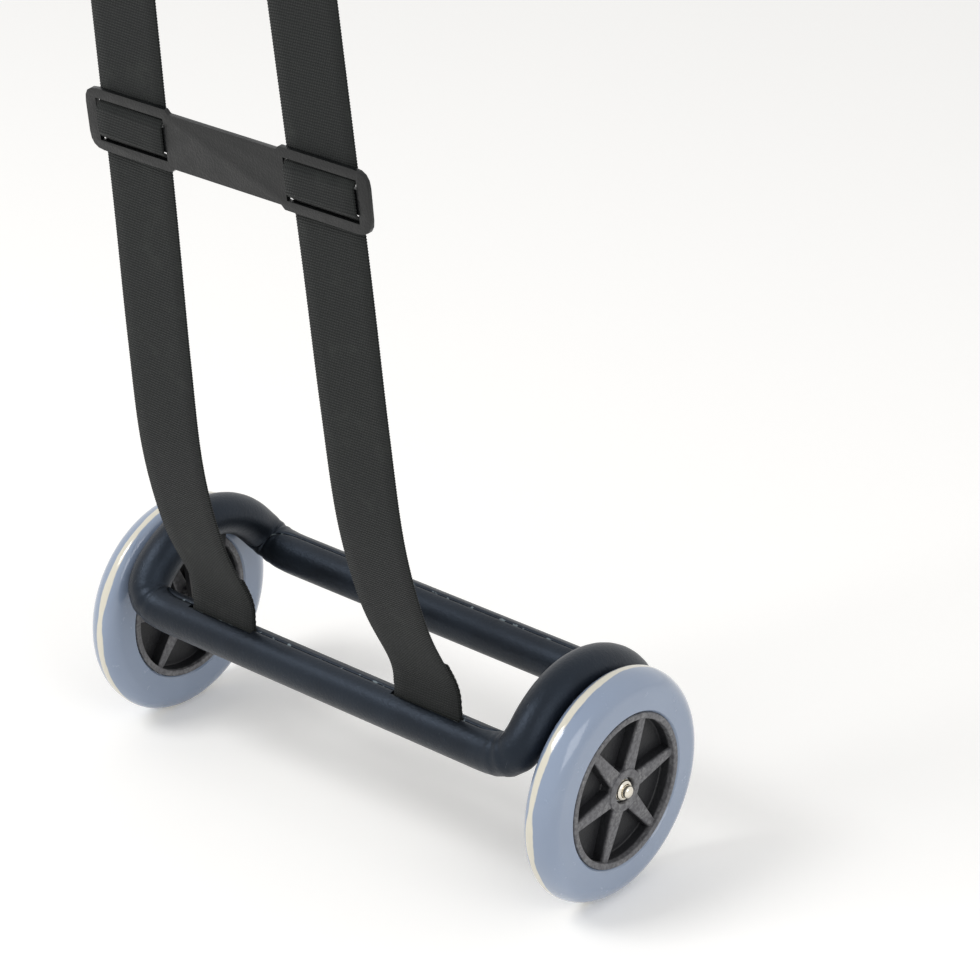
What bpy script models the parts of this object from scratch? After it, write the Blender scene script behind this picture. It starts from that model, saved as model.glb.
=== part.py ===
# Double bass trolley: a foam-covered tube loop on two wheels, with an elastic harness for the bass.
# The axle lies along X, the strapped side faces -Y, and the floor is z = 0.

from math import asin, atan2, cos, pi, radians, sin, sqrt

import bmesh
import bpy
from mathutils import Vector

# Driving dimensions, in metres.
GAP = 0.0003                      # clearance between touching pieces
RUNNING = 0.0001                  # radial play of the axle in its bushes

WHEEL_RADIUS = 0.075              # centre of the tread to the axle
HALF_TRACK = 0.1805               # middle of the trolley to the crown of the tread
TYRE_INNER_SIDE = 0.0090          # crown of the tread to the tyre's inboard side
TYRE_OUTER_SIDE = 0.0143          # crown of the tread to the tyre's outboard side
TYRE_SHOULDER = 0.0125            # depth of the rounded tread
TYRE_BORE = 0.0500                # radius of the hub inside the tyre

HUB_RIM_WALL = 0.0040
HUB_LIP = 0.0012                  # rim stands this far out of the spokes
HUB_WEB = 0.0030
SPOKE_COUNT = 6
SPOKE_TURN = radians(22)          # the wheels have rolled this far
SPOKE_AT_BOSS = 0.0110
SPOKE_AT_RIM = 0.0055
SPOKE_SINK = 0.0020               # spokes lie this far below the hub's faces
BOSS_RADIUS = 0.0140
BOSS_INNER_SIDE = 0.0115          # crown of the tread to the boss's inboard face
RECESS_RADIUS = 0.0084
RECESS_DEPTH = 0.0055

AXLE_RADIUS = 0.0040
AXLE_STICK_OUT = 0.0040           # axle end beyond the push nut
AXLE_CHAMFER = 0.0008
BUSH_WALL = 0.0020
BUSH_LENGTH = 0.0080
BUSH_FLANGE = 0.0010
BUSH_FLANGE_RADIUS = 0.0079
WASHER = 0.0010
WASHER_RADIUS = 0.0076
PUSH_NUT_RADIUS = 0.0070
PUSH_NUT_HEIGHT = 0.0030
SPACER_RADIUS = 0.0065

TUBE_RADIUS = 0.0090              # steel tube of the loop
TUBE_WALL = 0.0015
LOOP_HALF_LENGTH = 0.1573         # middle of the trolley to the plane of each arch
LOOP_HALF_DEPTH = 0.0552          # axle to each long tube, measured along Y
LOOP_HEIGHT = 0.1050              # floor to the middle of the long tubes
ARCH_RISE = 0.0380                # long tubes to the top of the arches
ARCH_POWER = 1.35                 # 1 is an ellipse, more makes the arch's foot steeper
ARCH_FOOT = radians(36)           # where the corner bend runs into the arch
CORNER = 0.0320                   # length of long tube that the corner bend takes
FERRULE_LENGTH = 0.0600

FOAM_RADIUS = 0.0137
FOAM_PLAY = 0.0009                # foam's bore round the steel tube
SEAM_OPEN = 0.0006                # width of the foam's seam
SEAM_AT_STRAP = 0.0066            # width of the seam where a strap comes out
SEAM_AT_PLATE = 0.0052            # width of the seam where an axle plate goes in

PLATE_THICKNESS = 0.0040
PLATE_FOOT_RADIUS = 0.0130
PLATE_TOP_ANGLE = radians(66)     # arch angle at which the plate's top edge starts

STRAP_WIDTH = 0.0530
STRAP_THICKNESS = 0.0016
STRAP_PITCH = 0.0856              # middle of the trolley to each strap at the tube
STRAP_TAPER = 0.0334              # the straps near each other by this much per metre of height
STRAP_PLAY = 0.0005               # play of the sewn eye round the steel tube
EYE_THROAT = 0.0040               # bend radius where the eye closes
FOLD_BACK = 0.0400                # length of the sewn end behind the strap

KEEPER_HEIGHT = 0.4670            # floor to the middle of the keeper
KEEPER_THICKNESS = 0.0030
KEEPER_END_HEIGHT = 0.0390
KEEPER_BAR_HEIGHT = 0.0340
KEEPER_OUTER_MARGIN = 0.0090      # leather beyond the strap's outer edge
KEEPER_INNER_MARGIN = 0.0030
KEEPER_CORNER = 0.0100
SLOT_SPACING = 0.0210             # upper slot to lower slot
SLOT_HEIGHT = 0.0056
SLOT_RAMP = 0.0066                # length of strap that passes through a slot

# Side view of the strap above the tube, as (y, z): the near rib of the bass, then its shoulder.
RIB_POINTS = [(-0.0595, 0.1425), (-0.0814, 0.1875), (-0.0983, 0.2475), (-0.1077, 0.3225),
              (-0.1164, 0.4125), (-0.1267, 0.5100), (-0.1400, 0.6375), (-0.1530, 0.7700),
              (-0.1590, 0.8600), (-0.1430, 0.9500), (-0.0950, 1.0200), (-0.0250, 1.0650)]
NECK_START = 0.0600               # y where the strap starts to go round the neck
NECK_CENTRE = 0.1223              # y of the neck's middle
NECK_HEIGHT = 1.0950
NECK_RADIUS = 0.0370              # bend of the strap behind the neck

ROUND = 20                        # facets round small turned pieces
TYRE_FACETS = 40
TUBE_FACETS = 12
FOAM_FACETS = 12

AXLE_HEIGHT = WHEEL_RADIUS
X_AXIS = Vector((1, 0, 0))
UP = Vector((0, 0, 1))


# Scene and materials

def clear_scene():
    for old in list(bpy.data.objects):
        bpy.data.objects.remove(old, do_unlink=True)


def material(name, colour, roughness, metallic=0.0):
    made = bpy.data.materials.new(name)
    made.use_nodes = True
    shader = made.node_tree.nodes["Principled BSDF"]
    shader.inputs["Base Color"].default_value = (*colour, 1.0)
    shader.inputs["Roughness"].default_value = roughness
    shader.inputs["Metallic"].default_value = metallic
    made.diffuse_color = (*colour, 1.0)
    return made


def add_object(name, bm, made_of, parent=None):
    bmesh.ops.recalc_face_normals(bm, faces=bm.faces)
    mesh = bpy.data.meshes.new(name)
    bm.to_mesh(mesh)
    bm.free()
    mesh.materials.append(made_of)
    mesh.shade_smooth()
    mesh.set_sharp_from_angle(angle=radians(35))
    piece = bpy.data.objects.new(name, mesh)
    bpy.context.scene.collection.objects.link(piece)
    piece.parent = parent
    return piece


def pivot(name, place):
    empty = bpy.data.objects.new(name, None)
    empty.location = place
    bpy.context.scene.collection.objects.link(empty)
    return empty


def cut(piece, cutter, operation="DIFFERENCE"):
    cutter.hide_render = True
    cutter.display_type = "WIRE"
    tool = piece.modifiers.new(operation.title(), "BOOLEAN")
    tool.operation = operation
    tool.object = cutter


# Building blocks

def bridge(bm, first, second):
    for i, corner in enumerate(first):
        j = (i + 1) % len(first)
        bm.faces.new((corner, first[j], second[j], second[i]))


def turned(name, profile, facets, made_of, parent=None):
    """Turn a closed outline of (x, radius) round the X axis."""
    bm = bmesh.new()
    rings = []
    for k in range(facets):
        angle = 2 * pi * k / facets - pi / 2
        rings.append([bm.verts.new((x, r * cos(angle), r * sin(angle))) for x, r in profile])
    for k in range(facets):
        bridge(bm, rings[k], rings[(k + 1) % facets])
    return add_object(name, bm, made_of, parent)


def rod(name, outline, made_of):
    """Turn an open outline of (x, radius) round the X axis and close its two ends."""
    bm = bmesh.new()
    angles = [2 * pi * k / ROUND for k in range(ROUND)]
    rings = [[bm.verts.new((x, r * cos(a), r * sin(a))) for a in angles] for x, r in outline]
    for first, second in zip(rings, rings[1:]):
        bridge(bm, first, second)
    bm.faces.new(rings[0])
    bm.faces.new(rings[-1])
    return add_object(name, bm, made_of)


def swept(name, sections, made_of):
    """Join equal closed sections into one body with flat ends."""
    bm = bmesh.new()
    rings = [[bm.verts.new(point) for point in section] for section in sections]
    for first, second in zip(rings, rings[1:]):
        bridge(bm, first, second)
    half = len(rings[0]) // 2
    for ring in (rings[0], rings[-1]):
        for i in range(half - 1):
            bm.faces.new((ring[i], ring[i + 1], ring[-i - 2], ring[-i - 1]))
    return add_object(name, bm, made_of)


def slab(name, outline, thickness, made_of):
    """Extrude a flat outline in the YZ plane to both sides of x = 0."""
    bm = bmesh.new()
    face = bm.faces.new([bm.verts.new((-thickness / 2, y, z)) for y, z in outline])
    grown = bmesh.ops.extrude_face_region(bm, geom=[face])
    moved = [item for item in grown["geom"] if isinstance(item, bmesh.types.BMVert)]
    bmesh.ops.translate(bm, verts=moved, vec=(thickness, 0, 0))
    return add_object(name, bm, made_of)


def smooth_curve(points, steps):
    """Catmull-Rom curve through the points, its ends mirrored."""
    points = [Vector(p) for p in points]
    padded = [2 * points[0] - points[1]] + points + [2 * points[-1] - points[-2]]
    curve = []
    for a, b, c, d in zip(padded, padded[1:], padded[2:], padded[3:]):
        for k in range(steps):
            t = k / steps
            curve.append(0.5 * (2 * b + (c - a) * t + (2 * a - 5 * b + 4 * c - d) * t ** 2
                                + (3 * b - a - 3 * c + d) * t ** 3))
    curve.append(points[-1])
    return curve


def tangents(path):
    found = []
    for i in range(len(path)):
        ahead = path[min(i + 1, len(path) - 1)]
        behind = path[max(i - 1, 0)]
        found.append((ahead - behind).normalized())
    return found


def smooth_step(t):
    t = min(max(t, 0.0), 1.0)
    return t * t * (3 - 2 * t)


# The tube loop

def arch_point(angle, x=LOOP_HALF_LENGTH):
    rise = ARCH_RISE * abs(sin(angle)) ** ARCH_POWER
    return Vector((x, -LOOP_HALF_DEPTH * cos(angle), LOOP_HEIGHT + rise))


def corner_bend(steps):
    start = Vector((LOOP_HALF_LENGTH - CORNER, -LOOP_HALF_DEPTH, LOOP_HEIGHT))
    end = arch_point(ARCH_FOOT)
    along = (arch_point(ARCH_FOOT + 0.01) - arch_point(ARCH_FOOT - 0.01)).normalized()
    reach = 0.55 * (end - start).length
    b = start + X_AXIS * reach
    c = end - along * reach
    bend = []
    for k in range(1, steps):
        t = k / steps
        u = 1 - t
        bend.append(start * u ** 3 + b * 3 * u * u * t + c * 3 * u * t * t + end * t ** 3)
    return bend


def quarter_loop():
    """Stations from the middle of the front tube to the top of the right arch.

    Each station is (point, seam width, seam turn), with the turn 0 on top and 1 under the arch.
    The steps in seam width lie at the strap's edges and at the axle plate's edges.
    """
    edge = STRAP_WIDTH / 2 + 2 * GAP
    ends = (STRAP_PITCH - edge, STRAP_PITCH + edge)
    stations = []
    for x, wide in ((0, False), (ends[0] - GAP, False), (ends[0], True),
                    (ends[1], True), (ends[1] + GAP, False), (LOOP_HALF_LENGTH - CORNER, False)):
        width = SEAM_AT_STRAP if wide else SEAM_OPEN
        stations.append((Vector((x, -LOOP_HALF_DEPTH, LOOP_HEIGHT)), width, 0.0))
    bend = corner_bend(8)
    for k, point in enumerate(bend):
        stations.append((point, SEAM_OPEN, smooth_step((k + 1) / len(bend))))
    slot_start = PLATE_TOP_ANGLE - 0.05
    feet = [ARCH_FOOT, (2 * ARCH_FOOT + slot_start) / 3, (ARCH_FOOT + 2 * slot_start) / 3]
    for angle in feet + [slot_start - 0.01]:
        stations.append((arch_point(angle), SEAM_OPEN, 1.0))
    for k in range(3):
        angle = slot_start + (pi / 2 - slot_start) * k / 3
        stations.append((arch_point(angle), SEAM_AT_PLATE, 1.0))
    stations.append((arch_point(pi / 2), SEAM_AT_PLATE, 1.0))
    return stations


def whole_loop():
    """Stations round the whole loop, from the middle of the rear tube and back to it.

    The rear tube carries no straps, so its seam stays closed.
    """
    def mirrored(stations, x, y):
        return [(Vector((p.x * x, p.y * y, p.z)), width, turn) for p, width, turn in stations]

    quarter = quarter_loop()
    closed = [(point, SEAM_OPEN if width == SEAM_AT_STRAP else width, turn) for point, width, turn in quarter]
    rear_left = mirrored(closed, -1, -1)
    front_left = mirrored(quarter, -1, 1)[::-1]
    front_right = quarter
    rear_right = mirrored(closed, 1, -1)[::-1]
    loop = rear_left + front_left[1:] + front_right[1:] + rear_right[1:]
    first, last = loop[0], loop[-1]
    loop[0] = (first[0] - X_AXIS * GAP / 2, first[1], first[2])
    loop[-1] = (last[0] + X_AXIS * GAP / 2, last[1], last[2])
    return loop


def loop_frames(loop):
    """Tangent, upper and sideways direction at each station of the loop.

    The upper direction is up on the long tubes and towards the other arch on the arches.
    """
    along = tangents([point for point, _, _ in loop])
    frames = []
    for direction, (point, _, turn) in zip(along, loop):
        inboard = X_AXIS * (-1 if point.x > 0 else 1)
        upper = UP * (1 - turn) + inboard * turn
        upper = (upper - direction * upper.dot(direction)).normalized()
        frames.append((direction, upper, direction.cross(upper)))
    return frames


def slit_ring(centre, frame, inner, outer, seam, turn):
    """Outline of a slit tube: the outer arc one way and the inner arc back."""
    _, upper, side = frame
    middle = -turn * pi / 2
    ring = []
    for radius, backwards in ((outer, False), (inner, True)):
        half = asin(seam / 2 / radius)
        angles = [half + (2 * pi - 2 * half) * k / FOAM_FACETS for k in range(FOAM_FACETS + 1)]
        if backwards:
            angles.reverse()
        for angle in angles:
            a = middle + angle
            ring.append(centre + upper * radius * cos(a) + side * radius * sin(a))
    return ring


def foam_bore(seam):
    eye = TUBE_RADIUS + STRAP_PLAY + STRAP_THICKNESS
    roomy = (eye + GAP) / cos(pi / FOAM_FACETS)
    snug = (TUBE_RADIUS + FOAM_PLAY) / cos(pi / FOAM_FACETS)
    return roomy if seam == SEAM_AT_STRAP else snug


def make_foam(made_of):
    loop = whole_loop()
    frames = loop_frames(loop)
    sections = []
    for (point, seam, turn), frame in zip(loop, frames):
        sections.append(slit_ring(point, frame, foam_bore(seam), FOAM_RADIUS, seam, turn))
    return swept("foam_sleeve", sections, made_of)


def make_frame_tube(made_of):
    """The steel tube: outer and inner skins, closed by a flat ring at each end."""
    loop = [station for station in whole_loop() if station[1] != SEAM_AT_STRAP]
    path = [point for point, _, _ in loop]
    frames = loop_frames(loop)
    bm = bmesh.new()
    skins = []
    for radius in (TUBE_RADIUS, TUBE_RADIUS - TUBE_WALL):
        rings = []
        for point, (_, upper, side) in zip(path, frames):
            ring = []
            for k in range(TUBE_FACETS):
                a = 2 * pi * k / TUBE_FACETS
                ring.append(bm.verts.new(point + upper * radius * cos(a) + side * radius * sin(a)))
            rings.append(ring)
        for first, second in zip(rings, rings[1:]):
            bridge(bm, first, second)
        skins.append(rings)
    for end in (0, -1):
        bridge(bm, skins[0][end], skins[1][end])
    return add_object("frame_tube", bm, made_of)


def make_ferrule(made_of):
    outer = (TUBE_RADIUS - TUBE_WALL) * cos(pi / TUBE_FACETS) - GAP
    inner = outer - TUBE_WALL
    half = FERRULE_LENGTH / 2
    profile = [(-half, outer), (half, outer), (half, inner), (-half, inner)]
    ferrule = turned("tube_ferrule", profile, ROUND, made_of)
    ferrule.location = (0, LOOP_HALF_DEPTH, LOOP_HEIGHT)
    return ferrule


def make_axle_plate(name, side, made_of):
    """A plate from the underside of the arch's tube down round the axle."""
    below = TUBE_RADIUS + GAP
    top = []
    steps = 8
    for k in range(steps + 1):
        angle = PLATE_TOP_ANGLE + (pi - 2 * PLATE_TOP_ANGLE) * k / steps
        here = arch_point(angle)
        ahead = arch_point(angle + 0.01) - arch_point(angle - 0.01)
        slope = atan2(ahead.z, ahead.y)
        top.append((here.y + below * sin(slope), here.z - below * cos(slope)))
    foot = []
    for k in range(13):
        angle = radians(200) + radians(140) * k / 12
        foot.append((PLATE_FOOT_RADIUS * cos(angle), AXLE_HEIGHT + PLATE_FOOT_RADIUS * sin(angle)))
    plate = slab(name, foot + top[::-1], PLATE_THICKNESS, made_of)
    plate.location.x = side * LOOP_HALF_LENGTH
    drill = shaft_bore(GAP)
    bore = rod(name + "_bore", [(-PLATE_THICKNESS, drill), (PLATE_THICKNESS, drill)], made_of)
    bore.location = (plate.location.x, 0, AXLE_HEIGHT)
    cut(plate, bore)
    return plate


# The wheels

def stack_positions():
    """Distances from the middle of the trolley along the axle, inboard to outboard."""
    place = {}
    place["boss_in"] = HALF_TRACK - BOSS_INNER_SIDE
    place["boss_out"] = HALF_TRACK + TYRE_OUTER_SIDE - HUB_LIP
    place["recess"] = place["boss_out"] - RECESS_DEPTH
    place["flange_in"] = place["boss_in"] - GAP - BUSH_FLANGE
    place["washer_in"] = place["flange_in"] - GAP - WASHER
    place["spacer_in"] = LOOP_HALF_LENGTH + PLATE_THICKNESS / 2 + GAP
    place["spacer_out"] = place["washer_in"] - GAP
    place["flange_out"] = place["recess"] + GAP
    place["washer_out"] = place["flange_out"] + BUSH_FLANGE + GAP
    place["nut"] = place["washer_out"] + WASHER + GAP
    place["axle_end"] = place["nut"] + PUSH_NUT_HEIGHT + AXLE_STICK_OUT
    return place


def shaft_bore(clearance):
    """Bore radius whose flats still clear the axle by this much."""
    return (AXLE_RADIUS + clearance) / cos(pi / ROUND)


def tyre_profile():
    """Inner bore, inboard side, rounded tread and outboard side, as (x, radius)."""
    bore = TYRE_BORE + GAP
    shoulder = WHEEL_RADIUS - TYRE_SHOULDER
    outline = [(TYRE_OUTER_SIDE, bore), (-TYRE_INNER_SIDE, bore)]
    for side, reach in ((-1, TYRE_INNER_SIDE), (1, TYRE_OUTER_SIDE)):
        angles = [pi / 2 * k / 4 for k in range(5)]
        if side > 0:
            angles = angles[:-1][::-1]
        for a in angles:
            outline.append((side * reach * cos(a), shoulder + TYRE_SHOULDER * sin(a)))
    return outline


def make_hub(name, made_of, parent):
    """Rim, web and boss turned in one, with six tapered spokes through the web."""
    inner = -TYRE_INNER_SIDE
    outer = TYRE_OUTER_SIDE
    web = (inner + outer) / 2
    low = (web - HUB_WEB / 2, web + HUB_WEB / 2)
    rim = TYRE_BORE - HUB_RIM_WALL
    bush = AXLE_RADIUS + RUNNING + BUSH_WALL + GAP
    boss_out = outer - HUB_LIP
    profile = [(inner, TYRE_BORE), (outer, TYRE_BORE), (outer, rim), (low[1], rim),
               (low[1], BOSS_RADIUS), (boss_out, BOSS_RADIUS), (boss_out, RECESS_RADIUS),
               (boss_out - RECESS_DEPTH, RECESS_RADIUS), (boss_out - RECESS_DEPTH, bush),
               (-BOSS_INNER_SIDE, bush), (-BOSS_INNER_SIDE, BOSS_RADIUS), (low[0], BOSS_RADIUS),
               (low[0], rim), (inner, rim)]
    hub = turned(name, profile, TYRE_FACETS, made_of, parent)
    spokes = spoke_star(name + "_spokes", inner + SPOKE_SINK, outer - SPOKE_SINK, made_of, parent)
    cut(hub, spokes, "UNION")
    return hub


def spoke_star(name, low, high, made_of, parent):
    bm = bmesh.new()
    start = BOSS_RADIUS * 0.82
    end = TYRE_BORE - HUB_RIM_WALL / 2
    for k in range(SPOKE_COUNT):
        angle = 2 * pi * k / SPOKE_COUNT + pi / 2 - SPOKE_TURN
        out = Vector((0, cos(angle), sin(angle)))
        across = Vector((0, -sin(angle), cos(angle)))
        outline = [out * start + across * SPOKE_AT_BOSS / 2, out * end + across * SPOKE_AT_RIM / 2,
                   out * end - across * SPOKE_AT_RIM / 2, out * start - across * SPOKE_AT_BOSS / 2]
        rings = [[bm.verts.new(p + X_AXIS * x) for p in outline] for x in (low, high)]
        bridge(bm, rings[0], rings[1])
        bm.faces.new(rings[0])
        bm.faces.new(rings[1])
    return add_object(name, bm, made_of, parent)


def bush_profile(flange, end, direction):
    """Flanged bush whose flange starts at one x and whose barrel runs in one direction."""
    barrel = AXLE_RADIUS + RUNNING + BUSH_WALL
    bore = shaft_bore(RUNNING / 2)
    seat = flange + direction * BUSH_FLANGE
    return [(flange, bore), (flange, BUSH_FLANGE_RADIUS), (seat, BUSH_FLANGE_RADIUS),
            (seat, barrel), (end, barrel), (end, bore)]


def ring_profile(low, high, radius, bore):
    return [(low, bore), (low, radius), (high, radius), (high, bore)]


def push_nut_profile(place):
    """A shallow cup with a turned-in rim that grips the axle."""
    low = place["nut"]
    high = low + PUSH_NUT_HEIGHT
    bore = shaft_bore(GAP)
    radius = PUSH_NUT_RADIUS
    return [(low, bore), (low, radius), (low + 0.35 * PUSH_NUT_HEIGHT, radius),
            (high - 0.2 * PUSH_NUT_HEIGHT, radius * 0.82), (high, radius * 0.68), (high, bore)]


def mirrored_x(profile, side, offset=0.0):
    return [(side * (x - offset), r) for x, r in profile]


def make_wheel(word, side, made_of):
    """One wheel and the loose rings beside it."""
    place = stack_positions()
    crown = pivot("wheel_" + word + "_pivot", (side * HALF_TRACK, 0, AXLE_HEIGHT))
    tyre = mirrored_x(tyre_profile(), side)
    turned("tyre_" + word, tyre, TYRE_FACETS, made_of["tyre"], crown)
    hub = make_hub("hub_" + word, made_of["hub"], crown)
    if side < 0:
        hub.rotation_euler.z = pi
        bpy.data.objects["hub_" + word + "_spokes"].rotation_euler.z = pi
    flange = place["flange_in"]
    inner = bush_profile(flange, flange + BUSH_FLANGE + BUSH_LENGTH, 1)
    turned("bush_inner_" + word, mirrored_x(inner, side, HALF_TRACK), ROUND, made_of["bush"], crown)
    flange = place["flange_out"] + BUSH_FLANGE
    outer = bush_profile(flange, flange - BUSH_FLANGE - BUSH_LENGTH, -1)
    turned("bush_outer_" + word, mirrored_x(outer, side, HALF_TRACK), ROUND, made_of["bush"], crown)

    axle = pivot("axle_" + word + "_seat", (0, 0, AXLE_HEIGHT))
    rings = {
        "spacer_tube_": (ring_profile(place["spacer_in"], place["spacer_out"], SPACER_RADIUS,
                                      shaft_bore(GAP)), "spacer"),
        "washer_inner_": (ring_profile(place["washer_in"], place["washer_in"] + WASHER,
                                       WASHER_RADIUS, shaft_bore(GAP)), "steel"),
        "washer_outer_": (ring_profile(place["washer_out"], place["washer_out"] + WASHER,
                                       WASHER_RADIUS, shaft_bore(GAP)), "steel"),
        "push_nut_": (push_nut_profile(place), "bright"),
    }
    for name, (profile, slot) in rings.items():
        turned(name + word, mirrored_x(profile, side), ROUND, made_of[slot], axle)


def make_axle(made_of):
    end = stack_positions()["axle_end"]
    outline = [(-end, AXLE_RADIUS - AXLE_CHAMFER), (-end + AXLE_CHAMFER, AXLE_RADIUS),
               (end - AXLE_CHAMFER, AXLE_RADIUS), (end, AXLE_RADIUS - AXLE_CHAMFER)]
    axle = rod("axle_rod", outline, made_of)
    axle.location.z = AXLE_HEIGHT
    return axle


# The harness

def strap_x(z):
    return STRAP_PITCH - STRAP_TAPER * (z - LOOP_HEIGHT)


def layer_offset():
    """Half the distance between the two layers of strap above the eye."""
    return (STRAP_THICKNESS + GAP) / 2


def eye_radius():
    return TUBE_RADIUS + STRAP_PLAY + STRAP_THICKNESS / 2


def throat_height():
    """Height above the tube's middle where the eye's two sides become parallel."""
    reach = eye_radius() + EYE_THROAT
    return sqrt(reach ** 2 - (layer_offset() + EYE_THROAT) ** 2)


def eye_path():
    """The strap round the tube, from the back layer, under the tube, to the front layer."""
    gap = layer_offset()
    reach = eye_radius() + EYE_THROAT
    open_angle = asin((gap + EYE_THROAT) / reach)
    throat = throat_height()
    path = []
    turn = pi / 2 - open_angle
    for k in range(4):
        a = turn * k / 4
        path.append((gap + EYE_THROAT - EYE_THROAT * cos(a), throat - EYE_THROAT * sin(a)))
    steps = 18
    for k in range(steps + 1):
        a = open_angle + (2 * pi - 2 * open_angle) * k / steps
        path.append((eye_radius() * sin(a), eye_radius() * cos(a)))
    for k in range(4):
        a = turn * (3 - k) / 4
        path.append((-gap - EYE_THROAT + EYE_THROAT * cos(a), throat - EYE_THROAT * sin(a)))
    x = strap_x(LOOP_HEIGHT + throat)
    return [Vector((x, y - LOOP_HALF_DEPTH, z + LOOP_HEIGHT)) for y, z in path]


def rib_curve():
    """The strap's middle line from the eye up to the neck, on the right-hand side."""
    foot = (-LOOP_HALF_DEPTH - layer_offset(), LOOP_HEIGHT + throat_height())
    side = [foot, (foot[0], foot[1] + 0.006)] + RIB_POINTS
    points = [Vector((strap_x(z), y, z)) for y, z in side]
    points.append(Vector((NECK_RADIUS + 0.002, NECK_START, NECK_HEIGHT)))
    points.append(Vector((NECK_RADIUS, NECK_CENTRE - 0.010, NECK_HEIGHT + 0.006)))
    return smooth_curve(points, 40)


def neck_curve():
    """Half of the bend behind the neck, ending on the trolley's middle plane."""
    bend = []
    for k in range(9):
        a = pi / 2 * k / 8
        bend.append(Vector((NECK_RADIUS * cos(a), NECK_CENTRE + NECK_RADIUS * sin(a),
                            NECK_HEIGHT + 0.007)))
    return bend


def outward(point, direction):
    """The strap's outer side: away from the ribs, then away from the neck."""
    side_view = direction.cross(X_AXIS)
    wrap = smooth_step((point.y + 0.140) / (NECK_START + 0.140)) if point.z > 0.9 else 0.0
    from_neck = Vector((point.x, max(point.y - NECK_CENTRE, 0.0), 0.0)).normalized()
    mixed = -side_view * (1 - wrap) + from_neck * wrap
    return (mixed - direction * mixed.dot(direction)).normalized()


def along_curve(curve):
    lengths = [0.0]
    for a, b in zip(curve, curve[1:]):
        lengths.append(lengths[-1] + (b - a).length)
    return lengths


def point_at(curve, lengths, distance):
    distance = min(max(distance, 0.0), lengths[-1])
    for i in range(1, len(curve)):
        if lengths[i] >= distance:
            span = lengths[i] - lengths[i - 1]
            t = (distance - lengths[i - 1]) / span
            return curve[i - 1].lerp(curve[i], t)
    return curve[-1].copy()


def keeper_seat(curve, lengths):
    """Distance along the strap at which it crosses the keeper's height."""
    for i in range(1, len(curve)):
        if curve[i].z >= KEEPER_HEIGHT:
            t = (KEEPER_HEIGHT - curve[i - 1].z) / (curve[i].z - curve[i - 1].z)
            return lengths[i - 1] + (lengths[i] - lengths[i - 1]) * t
    raise ValueError("the keeper lies above the strap")


def threading(distance, seat):
    """How far the strap stands forward of its line, to pass in front between the slots."""
    forward = KEEPER_THICKNESS + 2 * GAP + STRAP_THICKNESS
    edge = SLOT_SPACING / 2 + SLOT_RAMP / 2 - abs(distance - seat)
    return forward * smooth_step(edge / SLOT_RAMP)


def strap_stations(curve, lengths, seat):
    """Distances along the strap: even steps, with finer ones through the keeper."""
    stations = []
    reach = SLOT_SPACING / 2 + SLOT_RAMP
    start = seat - reach
    stations += [0.003 * k for k in range(1, 4)]
    stations += [0.012 + (start - 0.012) * k / 14 for k in range(1, 15)]
    for middle in (seat - SLOT_SPACING / 2, seat + SLOT_SPACING / 2):
        stations += [middle + SLOT_RAMP * (k - 4) / 8 for k in range(9)]
    rest = lengths[-1] - (seat + reach)
    stations += [seat + reach + rest * k / 24 for k in range(25)]
    return sorted(set(stations))


def strap_path():
    """Middle line and outer side of the right half, from the sewn end to behind the neck."""
    curve = rib_curve()
    lengths = along_curve(curve)
    seat = keeper_seat(curve, lengths)
    strand = []
    for distance in strap_stations(curve, lengths, seat):
        here = point_at(curve, lengths, distance)
        ahead = point_at(curve, lengths, distance + 0.0005)
        behind = point_at(curve, lengths, distance - 0.0005)
        side = outward(here, (ahead - behind).normalized())
        strand.append((here + side * threading(distance, seat), side))
    fold = []
    for k in range(5, -1, -1):
        here = point_at(curve, lengths, FOLD_BACK * k / 5)
        ahead = point_at(curve, lengths, FOLD_BACK * k / 5 + 0.0005)
        side = outward(here, (ahead - here).normalized())
        fold.append((here - side * 2 * layer_offset(), -side))
    eye = eye_path()
    middle = Vector((STRAP_PITCH, -LOOP_HALF_DEPTH, LOOP_HEIGHT))
    half = fold[:-1] + [(p, p - middle) for p in eye] + strand
    half += [(p, Vector((p.x, p.y - NECK_CENTRE, 0))) for p in neck_curve()]
    return half


def strap_sections(half):
    """Flat sections square to the path, on the right half and then on its mirror image."""
    path = [point for point, _ in half]
    sections = []
    previous = None
    for (point, _), direction in zip(half, tangents(path)):
        across = X_AXIS if point.z < 0.9 else direction.cross(outward(point, direction))
        if previous is not None and across.dot(previous) < 0:
            across = -across
        previous = across
        across = (across - direction * across.dot(direction)).normalized()
        up = across.cross(direction).normalized() * STRAP_THICKNESS / 2
        wide = across * STRAP_WIDTH / 2
        sections.append([point - wide - up, point + wide - up, point + wide + up, point - wide + up])
    other = []
    for section in sections[-2::-1]:
        flipped = [Vector((-p.x, p.y, p.z)) for p in section]
        other.append(flipped)
    return sections + other


def make_strap(made_of):
    return swept("elastic_strap", strap_sections(strap_path()), made_of)


def rounded(corners, radii, steps=4):
    """Polygon with its corners replaced by arcs of the given radii."""
    outline = []
    count = len(corners)
    for i, radius in enumerate(radii):
        corner = Vector(corners[i])
        before = (Vector(corners[i - 1]) - corner).normalized()
        after = (Vector(corners[(i + 1) % count]) - corner).normalized()
        half_angle = before.angle(after) / 2
        reach = radius / max(1e-9, abs(sin(half_angle) / cos(half_angle)))
        start = corner + before * reach
        end = corner + after * reach
        for k in range(steps + 1):
            t = k / steps
            outline.append(start * (1 - t) ** 2 + corner * 2 * t * (1 - t) + end * t ** 2)
    return outline


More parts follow.
